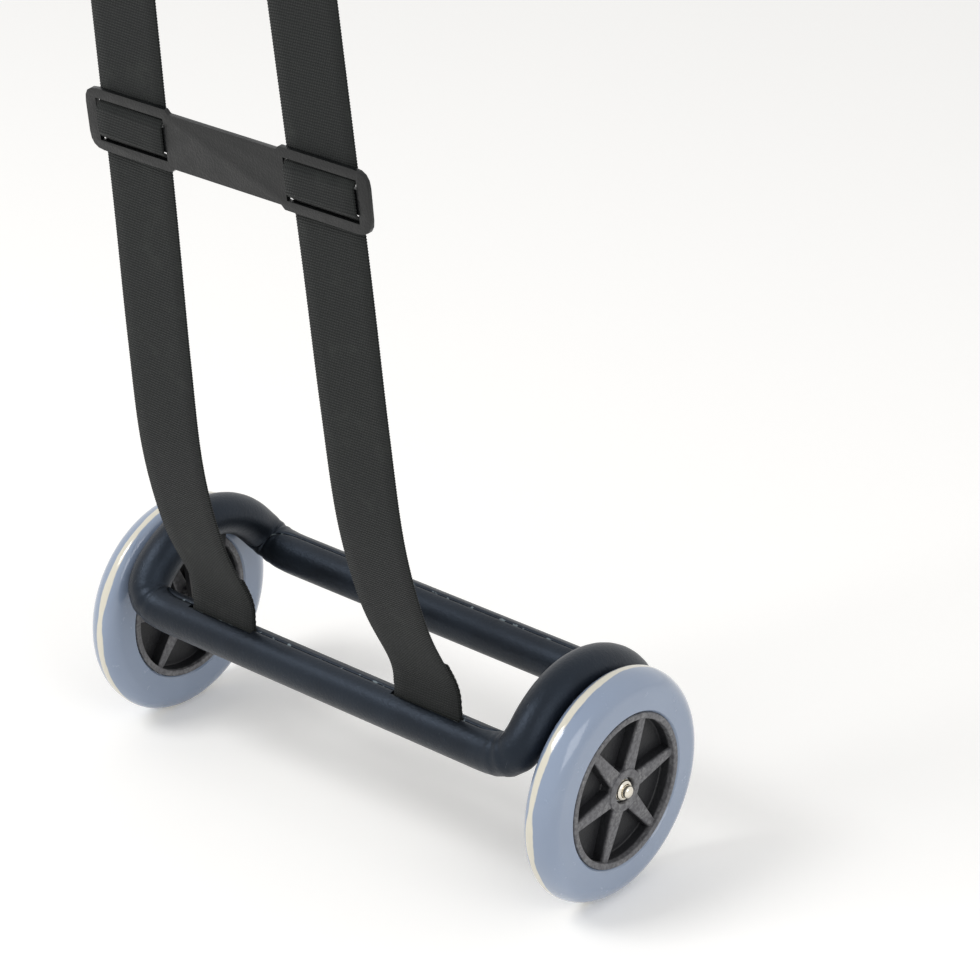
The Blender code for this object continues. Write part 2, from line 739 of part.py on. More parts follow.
def keeper_outline(pitch):
    """Dog-bone seen from the front, as (across, up) round its middle."""
    outer = pitch + STRAP_WIDTH / 2 + KEEPER_OUTER_MARGIN
    inner = pitch - STRAP_WIDTH / 2 - KEEPER_INNER_MARGIN
    tall = KEEPER_END_HEIGHT / 2
    bar = KEEPER_BAR_HEIGHT / 2
    step = tall - bar
    half = [(-inner + step, -bar), (inner - step, -bar), (inner, -tall), (outer, -tall),
            (outer, tall), (inner, tall), (inner - step, bar), (-inner + step, bar),
            (-inner, tall), (-outer, tall), (-outer, -tall), (-inner, -tall)]
    small = step / 2
    radii = [small, small, small, KEEPER_CORNER, KEEPER_CORNER, small,
             small, small, small, KEEPER_CORNER, KEEPER_CORNER, small]
    return rounded(half, radii)


def make_keeper(made_of):
    """A leather plate in front of both straps, each strap threaded through two slots."""
    curve = rib_curve()
    lengths = along_curve(curve)
    seat = keeper_seat(curve, lengths)
    here = point_at(curve, lengths, seat)
    above = point_at(curve, lengths, seat + SLOT_SPACING / 2)
    below = point_at(curve, lengths, seat - SLOT_SPACING / 2)
    tilt = atan2(above.y - below.y, above.z - below.z)
    outer_side = Vector((0, -cos(tilt), sin(tilt)))
    upward = Vector((0, sin(tilt), cos(tilt)))
    offset = STRAP_THICKNESS / 2 + GAP + KEEPER_THICKNESS / 2
    middle = Vector((0, here.y, here.z)) + outer_side * offset

    bm = bmesh.new()
    back = []
    for across, up in keeper_outline(here.x):
        place = middle + X_AXIS * across + upward * up - outer_side * KEEPER_THICKNESS / 2
        back.append(bm.verts.new(place))
    face = bm.faces.new(back)
    grown = bmesh.ops.extrude_face_region(bm, geom=[face])
    moved = [item for item in grown["geom"] if isinstance(item, bmesh.types.BMVert)]
    bmesh.ops.translate(bm, verts=moved, vec=outer_side * KEEPER_THICKNESS)
    keeper = add_object("strap_keeper", bm, made_of)

    slots = bmesh.new()
    wide = STRAP_WIDTH + 4 * GAP
    for side in (-1, 1):
        for level in (-1, 1):
            centre = middle + X_AXIS * side * here.x + upward * level * SLOT_SPACING / 2
            rings = []
            for depth in (-KEEPER_THICKNESS, KEEPER_THICKNESS):
                corners = [(-1, -1), (1, -1), (1, 1), (-1, 1)]
                rings.append([slots.verts.new(centre + outer_side * depth + X_AXIS * a * wide / 2
                                              + upward * b * SLOT_HEIGHT / 2) for a, b in corners])
            bridge(slots, rings[0], rings[1])
            slots.faces.new(rings[0])
            slots.faces.new(rings[1])
    cut(keeper, add_object("strap_keeper_slots", slots, made_of))
    return keeper


def build():
    clear_scene()
    steel = material("steel", (0.55, 0.56, 0.58), 0.35, 1.0)
    bright = material("bright_nickel", (0.80, 0.78, 0.74), 0.18, 1.0)
    foam = material("black_foam", (0.022, 0.026, 0.032), 0.75)
    tyre = material("grey_polyurethane", (0.30, 0.35, 0.44), 0.28)
    plastic = material("dark_plastic", (0.035, 0.036, 0.040), 0.45)
    nylon = material("white_nylon", (0.75, 0.74, 0.70), 0.40)
    webbing = material("elastic_webbing", (0.032, 0.036, 0.036), 0.80)
    leather = material("black_leather", (0.020, 0.023, 0.025), 0.38)
    painted = material("black_paint", (0.03, 0.03, 0.03), 0.40, 0.2)
    make_frame_tube(steel)
    make_ferrule(steel)
    make_foam(foam)
    make_axle(steel)
    slots = {"tyre": tyre, "hub": plastic, "bush": nylon, "spacer": plastic, "steel": steel,
             "bright": bright}
    for word, side in (("left", -1), ("right", 1)):
        make_axle_plate("axle_plate_" + word, side, painted)
        make_wheel(word, side, slots)
    make_strap(webbing)
    make_keeper(leather)


build()
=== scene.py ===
# Looks of the double bass trolley: a foam-covered tube loop on two wheels, with an elastic harness.
# The axle lies along X, the strapped side faces -Y, and the floor is z = 0.

from math import asin, cos, pi, radians, sin, sqrt

import bpy
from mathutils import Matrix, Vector


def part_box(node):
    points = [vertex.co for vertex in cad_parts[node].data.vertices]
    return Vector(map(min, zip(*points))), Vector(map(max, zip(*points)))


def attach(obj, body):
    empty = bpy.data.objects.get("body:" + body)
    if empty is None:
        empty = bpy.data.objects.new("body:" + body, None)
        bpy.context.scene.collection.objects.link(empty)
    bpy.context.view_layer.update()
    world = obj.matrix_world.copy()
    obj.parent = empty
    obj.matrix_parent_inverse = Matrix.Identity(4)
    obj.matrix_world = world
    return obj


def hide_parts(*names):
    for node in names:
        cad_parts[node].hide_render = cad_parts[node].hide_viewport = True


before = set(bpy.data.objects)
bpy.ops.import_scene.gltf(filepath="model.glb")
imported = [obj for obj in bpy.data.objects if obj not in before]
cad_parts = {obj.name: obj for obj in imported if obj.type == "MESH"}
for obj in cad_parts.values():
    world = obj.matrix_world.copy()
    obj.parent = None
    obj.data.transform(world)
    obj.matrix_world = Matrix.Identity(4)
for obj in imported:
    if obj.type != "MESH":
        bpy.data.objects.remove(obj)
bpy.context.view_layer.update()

# Driving dimensions, in metres, as the solids have them.
GAP = 0.0003                      # clearance between touching pieces
WHEEL_RADIUS = 0.075              # centre of the tread to the axle
HALF_TRACK = 0.1805               # middle of the trolley to the crown of the tread
TYRE_INNER_SIDE = 0.0090          # crown of the tread to the tyre's inboard side
TYRE_OUTER_SIDE = 0.0143          # crown of the tread to the tyre's outboard side
TYRE_SHOULDER = 0.0125            # depth of the rounded tread
TYRE_BORE = 0.0500                # radius of the hub inside the tyre
HUB_RIM_WALL = 0.0040
HUB_LIP = 0.0012                  # rim stands this far out of the boss
HUB_WEB = 0.0030
SPOKE_COUNT = 6
SPOKE_AT_BOSS = 0.0110
SPOKE_AT_RIM = 0.0055
SPOKE_SINK = 0.0020               # spokes lie this far below the hub's faces
BOSS_RADIUS = 0.0140
BOSS_INNER_SIDE = 0.0115          # crown of the tread to the boss's inboard face
RECESS_RADIUS = 0.0084
RECESS_DEPTH = 0.0055
AXLE_RADIUS = 0.0040
PUSH_NUT_RADIUS = 0.0070
PUSH_NUT_HEIGHT = 0.0030
TUBE_RADIUS = 0.0090              # steel tube of the loop
LOOP_HALF_LENGTH = 0.1573         # middle of the trolley to the plane of each arch
LOOP_HALF_DEPTH = 0.0552          # axle to each long tube, measured along Y
LOOP_HEIGHT = 0.1050              # floor to the middle of the long tubes
ARCH_RISE = 0.0380                # long tubes to the top of the arches
ARCH_POWER = 1.35                 # 1 is an ellipse, more makes the arch's foot steeper
ARCH_FOOT = radians(36)           # where the corner bend runs into the arch
CORNER = 0.0320                   # length of long tube that the corner bend takes
FOAM_RADIUS = 0.0137
FOAM_PLAY = 0.0009                # foam's bore round the steel tube
SEAM_OPEN = 0.0006                # width of the foam's seam
SEAM_AT_STRAP = 0.0066            # width of the seam where a strap comes out
SEAM_AT_PLATE = 0.0052            # width of the seam where an axle plate goes in
PLATE_TOP_ANGLE = radians(66)     # arch angle at which the plate's top edge starts
STRAP_WIDTH = 0.0530
STRAP_THICKNESS = 0.0016
STRAP_PITCH = 0.0856              # middle of the trolley to each strap at the tube
STRAP_TAPER = 0.0334              # the straps near each other by this much per metre of height
STRAP_PLAY = 0.0005               # play of the sewn eye round the steel tube
EYE_THROAT = 0.0040               # bend radius where the eye closes
FOLD_BACK = 0.0400                # length of the sewn end behind the strap
KEEPER_HEIGHT = 0.4670            # floor to the middle of the keeper
KEEPER_THICKNESS = 0.0030
SLOT_SPACING = 0.0210             # upper slot to lower slot
SLOT_RAMP = 0.0066                # length of strap that passes through a slot
RIB_POINTS = [(-0.0595, 0.1425), (-0.0814, 0.1875), (-0.0983, 0.2475), (-0.1077, 0.3225),
              (-0.1164, 0.4125), (-0.1267, 0.5100), (-0.1400, 0.6375), (-0.1530, 0.7700),
              (-0.1590, 0.8600), (-0.1430, 0.9500), (-0.0950, 1.0200), (-0.0250, 1.0650)]
NECK_START = 0.0600               # y where the top bend starts
NECK_CENTRE = 0.1223              # y of the middle of the top bend
NECK_HEIGHT = 1.0950              # floor to the start of the top bend
NECK_RADIUS = 0.0370              # radius of the top bend
NECK_RISE = 0.007                 # the top bend lies this far above its start
NECK_LEAD = 0.010                 # the webbing comes in line this far before the bend's middle
NECK_LEAD_RISE = 0.006
NECK_FLARE = 0.002                # the strands are this much further out where the top bend starts
EYE_EXIT = 0.006                  # the webbing leaves the sewn eye straight for this far

# Details that only the looks have.
SPOKE_TURN = radians(22)          # the wheels have rolled this far
POCKET_SHADE_OUTER = 0.0095             # between these, from the crown, the hub's pockets are painted near black as shade, beyond them grey
POCKET_SHADE_INNER = -0.0058
TYRE_EASING = 0.0012              # soft edge of the tyre at the rim
HUB_EASING = 0.0010               # rounding of the hub's turned edges
SPOKE_ROUNDING = 0.0012
BUSH_IN_HUB = 0.0024              # wall and play of the bush between axle and hub
NUT_BRIM = 0.0009                 # height of the push nut's brim
NUT_BRIM_EDGE = 0.0006            # straight part of the brim's edge
NUT_BRIM_BEVEL = 0.0003
NUT_LIP = 0.0004                  # step from the brim to the dome, and the dome's lip at the axle
AXLE_TIP = 0.0022                 # length of the axle's rounded end
SEAM_LIP = 0.0011                 # how far the foam rolls in at its seam
SEAM_LIP_REACH = 0.0016           # distance from the seam at which it starts to
LIP_CROWDING = 0.09               # draws the foam's facets together at the seam
CREASE_DEPTH = 0.00035            # wrinkles in the foam where the tube bends
CREASE_WAVES = 900                # radians of wrinkle for each metre along the tube
KEEPER_EASING = 0.0009            # burnished edge of the leather
WARP_PITCH = 0.0013               # one lengthwise thread of the webbing
RIB_PITCH = 0.0018                # one cross rib of the webbing
SELVEDGE_TOOTH = 0.00022          # how far each rib stands out at the webbing's edge
SELVEDGE_EASING = 0.0002
ROUND = 96                        # facets round the turned pieces
FOAM_FACETS = 44                  # facets round the foam
SLOT_EARLY = 0.05                 # the seam opens for the axle plate this angle before the plate
ANGLE_STEP = 0.01
STRAIGHT_BELOW = 0.9              # below this height the webbing stays parallel to the axle
TURN_START = -0.140               # y where the webbing starts to turn to the top bend
SPOKE_ROOT = 0.82                 # the spokes start inside the boss, at this share of its radius
CURVE_STEP = 0.0005               # step along the strap for finding its direction

# The studio: the photograph's camera, worked out from both wheels and the strap, and soft light.
CAMERA_PLACE = (1.2965, -1.4216, 1.1635)
CAMERA_TARGET = (0.0870, 0.0, 0.2418)
CAMERA_LENS = 128.48              # mm, on a sensor 36 mm wide
SENSOR_WIDTH = 36.0
SKY_LIGHT = 0.62                  # strength of the white surroundings as a light
FLOOR_LIFT = 0.14                 # brings the floor to white for the camera, shadows included
LAMP_AIM = (0, 0, 0.3)

AXLE_HEIGHT = WHEEL_RADIUS
X_AXIS = Vector((1, 0, 0))
UP = Vector((0, 0, 1))


# Paths shared with the solids

def smooth_curve(points, steps):
    """Catmull-Rom curve through the points, its ends mirrored."""
    points = [Vector(p) for p in points]
    padded = [2 * points[0] - points[1]] + points + [2 * points[-1] - points[-2]]
    curve = []
    for a, b, c, d in zip(padded, padded[1:], padded[2:], padded[3:]):
        for k in range(steps):
            t = k / steps
            curve.append(0.5 * (2 * b + (c - a) * t + (2 * a - 5 * b + 4 * c - d) * t ** 2
                                + (3 * b - a - 3 * c + d) * t ** 3))
    curve.append(points[-1])
    return curve


def tangents(path):
    found = []
    for i in range(len(path)):
        ahead = path[min(i + 1, len(path) - 1)]
        behind = path[max(i - 1, 0)]
        found.append((ahead - behind).normalized())
    return found


def smooth_step(t):
    t = min(max(t, 0.0), 1.0)
    return t * t * (3 - 2 * t)


def arch_point(angle, x=LOOP_HALF_LENGTH):
    rise = ARCH_RISE * abs(sin(angle)) ** ARCH_POWER
    return Vector((x, -LOOP_HALF_DEPTH * cos(angle), LOOP_HEIGHT + rise))


def corner_bend(steps):
    start = Vector((LOOP_HALF_LENGTH - CORNER, -LOOP_HALF_DEPTH, LOOP_HEIGHT))
    end = arch_point(ARCH_FOOT)
    along = (arch_point(ARCH_FOOT + ANGLE_STEP) - arch_point(ARCH_FOOT - ANGLE_STEP)).normalized()
    reach = 0.55 * (end - start).length
    b = start + X_AXIS * reach
    c = end - along * reach
    bend = []
    for k in range(1, steps):
        t = k / steps
        u = 1 - t
        bend.append(start * u ** 3 + b * 3 * u * u * t + c * 3 * u * t * t + end * t ** 3)
    return bend


def quarter_loop():
    """Stations from the middle of the front tube to the top of the right arch.

    Each station is (point, seam width, seam turn), with the turn 0 on top and 1 under the arch.
    """
    edge = STRAP_WIDTH / 2 + 2 * GAP
    inner = STRAP_PITCH - edge
    outer = STRAP_PITCH + edge
    end = LOOP_HALF_LENGTH - CORNER
    places = [(inner * k / 14, SEAM_OPEN) for k in range(14)] + [(inner - GAP, SEAM_OPEN)]
    places += [(inner + 2 * edge * k / 16, SEAM_AT_STRAP) for k in range(17)]
    places += [(outer + GAP, SEAM_OPEN), (end, SEAM_OPEN)]
    stations = [(Vector((x, -LOOP_HALF_DEPTH, LOOP_HEIGHT)), width, 0.0) for x, width in places]
    bend = corner_bend(22)
    for k, point in enumerate(bend):
        stations.append((point, SEAM_OPEN, smooth_step((k + 1) / len(bend))))
    slot_start = PLATE_TOP_ANGLE - SLOT_EARLY
    closed_sweep = slot_start - ANGLE_STEP - ARCH_FOOT
    open_sweep = pi / 2 - slot_start
    steps = 8
    for k in range(steps + 1):
        stations.append((arch_point(ARCH_FOOT + closed_sweep * k / steps), SEAM_OPEN, 1.0))
    for k in range(steps + 1):
        stations.append((arch_point(slot_start + open_sweep * k / steps), SEAM_AT_PLATE, 1.0))
    return stations


def whole_loop():
    """Stations round the whole loop, from the middle of the rear tube and back to it.

    The rear tube carries no straps, so its seam stays closed.
    """
    def mirrored(stations, x, y):
        return [(Vector((p.x * x, p.y * y, p.z)), width, turn) for p, width, turn in stations]

    quarter = quarter_loop()
    closed = [(point, SEAM_OPEN if width == SEAM_AT_STRAP else width, turn)
              for point, width, turn in quarter]
    rear_left = mirrored(closed, -1, -1)
    front_left = mirrored(quarter, -1, 1)[::-1]
    front_right = quarter
    rear_right = mirrored(closed, 1, -1)[::-1]
    return rear_left + front_left[1:] + front_right[1:] + rear_right[1:-1]


def loop_frames(loop):
    """Tangent, upper and sideways direction at each station of the loop.

    The upper direction is up on the long tubes and towards the other arch on the arches.
    """
    path = [point for point, _, _ in loop]
    along = [(path[(i + 1) % len(path)] - path[i - 1]).normalized() for i in range(len(path))]
    frames = []
    for direction, (point, _, turn) in zip(along, loop):
        inboard = X_AXIS * (-1 if point.x > 0 else 1)
        upper = UP * (1 - turn) + inboard * turn
        upper = (upper - direction * upper.dot(direction)).normalized()
        frames.append((direction, upper, direction.cross(upper)))
    return frames


def strap_x(z):
    return STRAP_PITCH - STRAP_TAPER * (z - LOOP_HEIGHT)


def layer_offset():
    """Half the distance between the two layers of strap above the eye."""
    return (STRAP_THICKNESS + GAP) / 2


def eye_radius():
    return TUBE_RADIUS + STRAP_PLAY + STRAP_THICKNESS / 2


def throat_height():
    """Height above the tube's middle where the eye's two sides become parallel."""
    reach = eye_radius() + EYE_THROAT
    return sqrt(reach ** 2 - (layer_offset() + EYE_THROAT) ** 2)


def eye_path():
    """The strap round the tube, from the back layer, under the tube, to the front layer."""
    gap = layer_offset()
    reach = eye_radius() + EYE_THROAT
    open_angle = asin((gap + EYE_THROAT) / reach)
    throat = throat_height()
    path = []
    turn = pi / 2 - open_angle
    for k in range(4):
        a = turn * k / 4
        path.append((gap + EYE_THROAT - EYE_THROAT * cos(a), throat - EYE_THROAT * sin(a)))
    steps = 40
    for k in range(steps + 1):
        a = open_angle + (2 * pi - 2 * open_angle) * k / steps
        path.append((eye_radius() * sin(a), eye_radius() * cos(a)))
    for k in range(4):
        a = turn * (3 - k) / 4
        path.append((-gap - EYE_THROAT + EYE_THROAT * cos(a), throat - EYE_THROAT * sin(a)))
    x = strap_x(LOOP_HEIGHT + throat)
    return [Vector((x, y - LOOP_HALF_DEPTH, z + LOOP_HEIGHT)) for y, z in path]


def rib_curve():
    """The strap's middle line from the eye up to the top bend, on the right-hand side."""
    foot = (-LOOP_HALF_DEPTH - layer_offset(), LOOP_HEIGHT + throat_height())
    side = [foot, (foot[0], foot[1] + EYE_EXIT)] + RIB_POINTS
    points = [Vector((strap_x(z), y, z)) for y, z in side]
    points.append(Vector((NECK_RADIUS + NECK_FLARE, NECK_START, NECK_HEIGHT)))
    points.append(Vector((NECK_RADIUS, NECK_CENTRE - NECK_LEAD, NECK_HEIGHT + NECK_LEAD_RISE)))
    return smooth_curve(points, 40)


def neck_curve():
    """Half of the top bend, ending on the trolley's middle plane."""
    bend = []
    for k in range(25):
        a = pi / 2 * k / 24
        bend.append(Vector((NECK_RADIUS * cos(a), NECK_CENTRE + NECK_RADIUS * sin(a),
                            NECK_HEIGHT + NECK_RISE)))
    return bend


def outward(point, direction):
    """The strap's outer side: forward on the strands, then away from the top bend's middle."""
    side_view = direction.cross(X_AXIS)
    turning = (point.y - TURN_START) / (NECK_START - TURN_START)
    wrap = smooth_step(turning) if point.z > STRAIGHT_BELOW else 0.0
    from_neck = Vector((point.x, max(point.y - NECK_CENTRE, 0.0), 0.0)).normalized()
    outer = -side_view * (1 - wrap) + from_neck * wrap
    return (outer - direction * outer.dot(direction)).normalized()


def along_curve(curve):
    lengths = [0.0]
    for a, b in zip(curve, curve[1:]):
        lengths.append(lengths[-1] + (b - a).length)
    return lengths


def point_at(curve, lengths, distance):
    distance = min(max(distance, 0.0), lengths[-1])
    for i in range(1, len(curve)):
        if lengths[i] >= distance:
            span = lengths[i] - lengths[i - 1]
            t = (distance - lengths[i - 1]) / span
            return curve[i - 1].lerp(curve[i], t)
    return curve[-1].copy()


def keeper_seat(curve, lengths):
    """Distance along the strap at which it crosses the keeper's height."""
    for i in range(1, len(curve)):
        if curve[i].z >= KEEPER_HEIGHT:
            t = (KEEPER_HEIGHT - curve[i - 1].z) / (curve[i].z - curve[i - 1].z)
            return lengths[i - 1] + (lengths[i] - lengths[i - 1]) * t
    raise ValueError("the keeper lies above the strap")


def threading(distance, seat):
    """How far the strap stands forward of its line, to pass in front between the slots."""
    forward = KEEPER_THICKNESS + 2 * GAP + STRAP_THICKNESS
    edge = SLOT_SPACING / 2 + SLOT_RAMP / 2 - abs(distance - seat)
    return forward * smooth_step(edge / SLOT_RAMP)


def strap_path():
    """Middle line and outer side of the right half, from the sewn end to the top bend's middle."""
    curve = rib_curve()
    lengths = along_curve(curve)
    seat = keeper_seat(curve, lengths)
    strand = []
    count = int(lengths[-1] / (RIB_PITCH / 2))
    for k in range(2, count + 1):
        distance = lengths[-1] * k / count
        here = point_at(curve, lengths, distance)
        ahead = point_at(curve, lengths, distance + CURVE_STEP)
        behind = point_at(curve, lengths, distance - CURVE_STEP)
        side = outward(here, (ahead - behind).normalized())
        strand.append((here + side * threading(distance, seat), side))
    fold = []
    steps = 20
    for k in range(steps, -1, -1):
        here = point_at(curve, lengths, FOLD_BACK * k / steps)
        ahead = point_at(curve, lengths, FOLD_BACK * k / steps + CURVE_STEP)
        side = outward(here, (ahead - here).normalized())
        fold.append((here - side * 2 * layer_offset(), -side))
    middle = Vector((STRAP_PITCH, -LOOP_HALF_DEPTH, LOOP_HEIGHT))
    half = fold[:-1] + [(p, p - middle) for p in eye_path()] + strand
    half += [(p, Vector((p.x, p.y - NECK_CENTRE, 0))) for p in neck_curve()[1:]]
    return half


# Materials

def linear(hex_colour):
    """An sRGB hex colour as linear RGBA."""
    values = [int(hex_colour[i:i + 2], 16) / 255 for i in (1, 3, 5)]
    return [v / 12.92 if v <= 0.04045 else ((v + 0.055) / 1.055) ** 2.4 for v in values] + [1.0]


def add_node(tree, kind, settings=None, links=None):
    """One node with its properties or socket values, and the sockets that feed it."""
    made = tree.nodes.new(kind)
    for name, value in (settings or {}).items():
        if isinstance(name, str) and hasattr(made, name):
            setattr(made, name, value)
        else:
            made.inputs[name].default_value = value
    for name, source in (links or {}).items():
        tree.links.new(source, made.inputs[name])
    return made


def new_material(name, **shader_values):
    made = bpy.data.materials.new(name)
    made.use_nodes = True
    tree = made.node_tree
    shader = tree.nodes["Principled BSDF"]
    for socket, value in shader_values.items():
        shader.inputs[socket.replace("_", " ")].default_value = value
    return made, tree, shader


def noise(tree, vector, size, detail=3.0, rough=0.5):
    """Noise whose blobs are about this many metres across."""
    made = add_node(tree, "ShaderNodeTexNoise",
                    {"Scale": 0.5 / size, "Detail": detail, "Roughness": rough}, {"Vector": vector})
    return made.outputs["Fac"]


def stepped(tree, value, low, high, to_low=0.0, to_high=1.0):
    """A smooth step of the value from low to high."""
    made = add_node(tree, "ShaderNodeMapRange",
                    {"interpolation_type": "SMOOTHSTEP", "From Min": low, "From Max": high,
                     "To Min": to_low, "To Max": to_high}, {"Value": value})
    return made.outputs["Result"]


def maths(tree, operation, first, second):
    settings = {"operation": operation}
    links = {}
    for index, value in enumerate((first, second)):
        if isinstance(value, (int, float)):
            settings[index] = value
        else:
            links[index] = value
    return add_node(tree, "ShaderNodeMath", settings, links).outputs["Value"]


def mixed(tree, factor, first, second):
    """Colour mix; each colour is a hex value or a socket."""
    made = add_node(tree, "ShaderNodeMix", {"data_type": "RGBA"})
    tree.links.new(factor, made.inputs["Factor"])
    for index, colour in ((6, first), (7, second)):
        if isinstance(colour, str):
            made.inputs[index].default_value = linear(colour)
        else:
            tree.links.new(colour, made.inputs[index])
    return made.outputs[2]


def bump(tree, shader, height, distance, strength=1.0):
    made = add_node(tree, "ShaderNodeBump", {"Strength": strength, "Distance": distance},
                    {"Height": height})
    tree.links.new(made.outputs["Normal"], shader.inputs["Normal"])


def object_place(tree):
    return add_node(tree, "ShaderNodeTexCoord").outputs["Object"]


def closed_cell_foam():
    """Black closed-cell foam: matte skin, fine cells, blue-grey sheen, bits of glue at its seam."""
    made, tree, shader = new_material("closed_cell_foam", Roughness=0.38, Specular_IOR_Level=0.4,
                                     Specular_Tint=linear("#c4d8f4"))
    place = object_place(tree)
    around = add_node(tree, "ShaderNodeSeparateXYZ", links={"Vector": add_node(
        tree, "ShaderNodeTexCoord").outputs["UV"]})
    cells = noise(tree, place, size=0.0011, detail=4.0, rough=0.7)
    blotches = noise(tree, place, size=0.014, detail=2.0)
    skin = mixed(tree, stepped(tree, blotches, low=0.35, high=0.65), "#0a0c0f", "#12161b")
    skin = mixed(tree, stepped(tree, cells, low=0.60, high=0.75), skin, "#22272e")
    waver = 0.0030
    glue_width = 0.0018
    glue_edge = 0.0023
    ragged = maths(tree, "ADD", maths(tree, "ABSOLUTE", around.outputs["Y"], 0.0),
                   maths(tree, "MULTIPLY", noise(tree, place, size=0.0016), waver))
    near_seam = stepped(tree, ragged, low=glue_width, high=glue_edge, to_low=1.0, to_high=0.0)
    dashes = stepped(tree, noise(tree, place, size=0.0045, detail=2.0), low=0.56, high=0.60)
    colour = mixed(tree, maths(tree, "MULTIPLY", near_seam, dashes), skin, "#7c868a")
    tree.links.new(colour, shader.inputs["Base Color"])
    bump(tree, shader, cells, distance=0.0005, strength=0.55)
    return made


def cast_polyurethane():
    """Blue-grey cast polyurethane: smooth satin skin, a worn cream line round the tread."""
    made, tree, shader = new_material("cast_polyurethane", Roughness=0.2, Coat_Weight=0.6,
                                     Coat_Roughness=0.08)
    place = object_place(tree)
    axes = add_node(tree, "ShaderNodeSeparateXYZ", links={"Vector": place})
    across = maths(tree, "SUBTRACT", maths(tree, "ABSOLUTE", axes.outputs["X"], 0.0), HALF_TRACK)
    off_crown = maths(tree, "ABSOLUTE", across, 0.0)
    waver = maths(tree, "MULTIPLY", noise(tree, place, size=0.012, detail=3.0), 0.0035)
    worn = maths(tree, "SUBTRACT", off_crown, waver)
    line = stepped(tree, worn, low=0.0002, high=0.0010, to_low=1.0, to_high=0.0)
    height = maths(tree, "SUBTRACT", axes.outputs["Z"], AXLE_HEIGHT)
    radius_squared = maths(tree, "ADD", maths(tree, "MULTIPLY", height, height),
                           maths(tree, "MULTIPLY", axes.outputs["Y"], axes.outputs["Y"]))
    tread = stepped(tree, radius_squared, low=(WHEEL_RADIUS - 0.003) ** 2,
                    high=(WHEEL_RADIUS - 0.001) ** 2)
    clouds = mixed(tree, noise(tree, place, size=0.030, detail=2.0), "#7f8ea6", "#93a1b7")
    colour = mixed(tree, maths(tree, "MULTIPLY", line, tread), clouds, "#d9d4c4")
    tree.links.new(colour, shader.inputs["Base Color"])
    marks = noise(tree, place, size=0.004, detail=5.0, rough=0.7)
    scuffs = stepped(tree, marks, low=0.45, high=0.8, to_low=0.16, to_high=0.34)
    tree.links.new(scuffs, shader.inputs["Roughness"])
    bump(tree, shader, noise(tree, place, size=0.0030, detail=2.0), distance=0.0001, strength=0.4)
    return made


def moulded_polypropylene():
    """Glass-filled polypropylene: pebbly grey faces, slightly dusty, and painted shade that colours
    the pockets near black.
    """
    made, tree, shader = new_material("moulded_polypropylene", Roughness=0.50)
    place = object_place(tree)
    pebbles = noise(tree, place, size=0.0013, detail=3.0, rough=0.6)
    dust = stepped(tree, noise(tree, place, size=0.006, detail=4.0), low=0.40, high=0.75)
    colour = mixed(tree, dust, "#6b6b6e", "#7f7f80")
    colour = mixed(tree, stepped(tree, pebbles, low=0.35, high=0.65), "#535356", colour)
    axes = add_node(tree, "ShaderNodeSeparateXYZ", links={"Vector": place})
    # Painted shade: the pockets round the web, between the spokes, are coloured near black by their
    # depth.
    across = maths(tree, "SUBTRACT", maths(tree, "ABSOLUTE", axes.outputs["X"], 0.0), HALF_TRACK)
    outboard = stepped(tree, across, low=POCKET_SHADE_OUTER, high=POCKET_SHADE_OUTER + 0.002)
    inboard = stepped(tree, across, low=POCKET_SHADE_INNER - 0.001, high=POCKET_SHADE_INNER, to_low=1.0,
                      to_high=0.0)
    unshaded_faces = maths(tree, "MAXIMUM", outboard, inboard)
    colour = mixed(tree, unshaded_faces, "#1c1d20", colour)
    tree.links.new(colour, shader.inputs["Base Color"])
    bump(tree, shader, pebbles, distance=0.0006, strength=0.7)
    return made


def waves(tree, vector, direction, pitch, distortion):
    """Even ridges across one direction of the cloth, one for each pitch."""
    settings = {"bands_direction": direction, "Scale": 0.05 * 2 * pi / pitch,
                "Distortion": distortion, "Detail": 1.0}
    return add_node(tree, "ShaderNodeTexWave", settings, {"Vector": vector}).outputs["Fac"]


def elastic_webbing():
    """Charcoal woven elastic: cross ribs, fine lengthwise threads, dull sheen."""
    made, tree, shader = new_material("elastic_webbing", Roughness=0.78, Specular_IOR_Level=0.2,
                                      Sheen_Weight=0.08, Sheen_Roughness=0.5)
    cloth = add_node(tree, "ShaderNodeTexCoord").outputs["UV"]
    ribs = waves(tree, cloth, "X", RIB_PITCH, 0.6)
    threads = waves(tree, cloth, "Y", WARP_PITCH, 0.8)
    weave = maths(tree, "ADD", ribs, maths(tree, "MULTIPLY", threads, 0.45))
    fluff = noise(tree, object_place(tree), size=0.010, detail=4.0)
    colour = mixed(tree, stepped(tree, weave, low=0.1, high=1.2), "#0e1010", "#1e2120")
    colour = mixed(tree, stepped(tree, fluff, low=0.55, high=0.8), colour, "#242725")
    tree.links.new(colour, shader.inputs["Base Color"])
    bump(tree, shader, weave, distance=0.0004, strength=0.8)
    return made


def polished_leather():
    """Black leather: fine grain under wax, soft creases."""
    made, tree, shader = new_material("polished_leather", Roughness=0.42, Specular_IOR_Level=0.3,
                                      Coat_Weight=0.1, Coat_Roughness=0.3)
    place = object_place(tree)
    grain_size = 0.0014
    grain = add_node(tree, "ShaderNodeTexVoronoi", {"Scale": 1 / grain_size},
                     {"Vector": place}).outputs["Distance"]
    creases = noise(tree, place, size=0.007, detail=5.0, rough=0.6)
    tree.links.new(mixed(tree, creases, "#08090a", "#101213"), shader.inputs["Base Color"])
    rough = stepped(tree, creases, low=0.3, high=0.7, to_low=0.26, to_high=0.46)
    tree.links.new(rough, shader.inputs["Roughness"])
    bump(tree, shader, maths(tree, "ADD", grain, creases), distance=0.00025, strength=0.5)
    return made


